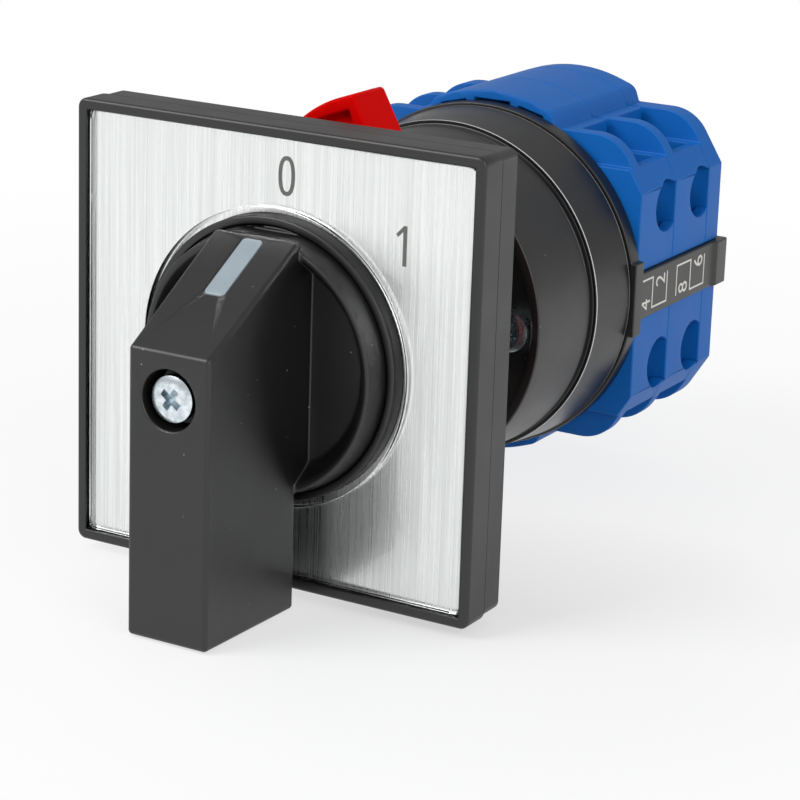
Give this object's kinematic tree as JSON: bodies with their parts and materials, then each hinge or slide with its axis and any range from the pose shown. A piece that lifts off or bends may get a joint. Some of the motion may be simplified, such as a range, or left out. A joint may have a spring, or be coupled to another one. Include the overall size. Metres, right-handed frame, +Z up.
{
  "type": "rotary cam switch",
  "caption": "Panel-mounted rotary cam switch with a square dial plate, a bladed knob, a lock lever and contact stages with screw terminals.",
  "frame": {"origin": "on the shaft axis, in the plane where the gasket meets the panel", "axes": "+Z up, +Y along the shaft to the rear, the handle faces -Y, +X to the right seen from the front"},
  "size_m": [0.048, 0.086, 0.0506],
  "materials": {
    "black_plastic": "fine satin",
    "blue_plastic": "satin",
    "label": "smooth black label",
    "dial_aluminium": "brushed upright",
    "clear_plastic": "clear",
    "gasket_rubber": "matt",
    "red_plastic": "glossy",
    "pale_plastic": "smooth",
    "cam_plastic": "matt natural",
    "contact_brass": "plain",
    "zinc_steel": "zinc plated"
  },
  "bodies": {
    "switch_body": {"bezel_frame": "black_plastic", "clamp_plates_1": "zinc_steel", "clamp_plates_2": "zinc_steel", "clear_window": "clear_plastic", "contact_spring_lower_1": "zinc_steel", "contact_spring_lower_2": "zinc_steel", "contact_spring_upper_1": "zinc_steel", "contact_spring_upper_2": "zinc_steel", "detent_base": "black_plastic", "detent_housing": "black_plastic", "detent_spring_left": "zinc_steel", "detent_spring_right": "zinc_steel", "dial_plate": "dial_aluminium", "end_cover": "blue_plastic", "fixed_contacts_1": "contact_brass", "fixed_contacts_2": "contact_brass", "front_bushing": "black_plastic", "label_band": "label", "latch_collar": "black_plastic", "number_strip_left": "black_plastic", "number_strip_right": "black_plastic", "panel_gasket": "gasket_rubber", "ring_nut": "black_plastic", "stage_housing_1": "blue_plastic", "stage_housing_2": "blue_plastic", "terminal_screws_1": "zinc_steel", "terminal_screws_2": "zinc_steel", "tie_nuts": "zinc_steel", "tie_screws": "zinc_steel"},
    "handle": {"knob": "black_plastic", "pointer_inlay": "pale_plastic", "knob_screw": "zinc_steel", "spindle": "zinc_steel", "star_wheel": "cam_plastic", "cam_1": "cam_plastic", "cam_2": "cam_plastic"},
    "lock_lever": {"lock_lever": "red_plastic"},
    "plunger_upper_1": {"plunger_upper_1": "cam_plastic", "contact_bridge_upper_1": "contact_brass"},
    "plunger_lower_1": {"plunger_lower_1": "cam_plastic", "contact_bridge_lower_1": "contact_brass"},
    "plunger_upper_2": {"plunger_upper_2": "cam_plastic", "contact_bridge_upper_2": "contact_brass"},
    "plunger_lower_2": {"plunger_lower_2": "cam_plastic", "contact_bridge_lower_2": "contact_brass"}
  },
  "joints": [
    {"name": "handle_turn", "type": "hinge", "parent": "switch_body", "child": "handle", "pos_m": [0, 0, 0], "axis": [0, 1, 0], "range_deg": [0, 45], "deforming": ["detent_spring_left", "detent_spring_right"]},
    {"name": "lever_turn", "type": "hinge", "parent": "switch_body", "child": "lock_lever", "pos_m": [0, 0.008, 0], "axis": [0, 1, 0], "range_deg": [-30, 0]},
    {"name": "plunger_upper_1_slide", "type": "slide", "parent": "switch_body", "child": "plunger_upper_1", "axis": [0, 0, 1], "range_m": [-0.00201, 0], "deforming": ["contact_spring_upper_1"]},
    {"name": "plunger_lower_1_slide", "type": "slide", "parent": "switch_body", "child": "plunger_lower_1", "axis": [0, 0, -1], "range_m": [-0.00201, 0], "deforming": ["contact_spring_lower_1"]},
    {"name": "plunger_upper_2_slide", "type": "slide", "parent": "switch_body", "child": "plunger_upper_2", "axis": [0, 0, 1], "range_m": [-0.00201, 0], "deforming": ["contact_spring_upper_2"]},
    {"name": "plunger_lower_2_slide", "type": "slide", "parent": "switch_body", "child": "plunger_lower_2", "axis": [0, 0, -1], "range_m": [-0.00201, 0], "deforming": ["contact_spring_lower_2"]}
  ],
  "couplings": [
    {"joint": "plunger_upper_1_slide", "follows": "handle_turn", "m_per_rad": -0.0025465},
    {"joint": "plunger_lower_1_slide", "follows": "handle_turn", "m_per_rad": -0.0025465},
    {"joint": "plunger_upper_2_slide", "follows": "handle_turn", "m_per_rad": -0.0025465},
    {"joint": "plunger_lower_2_slide", "follows": "handle_turn", "m_per_rad": -0.0025465}
  ]
}
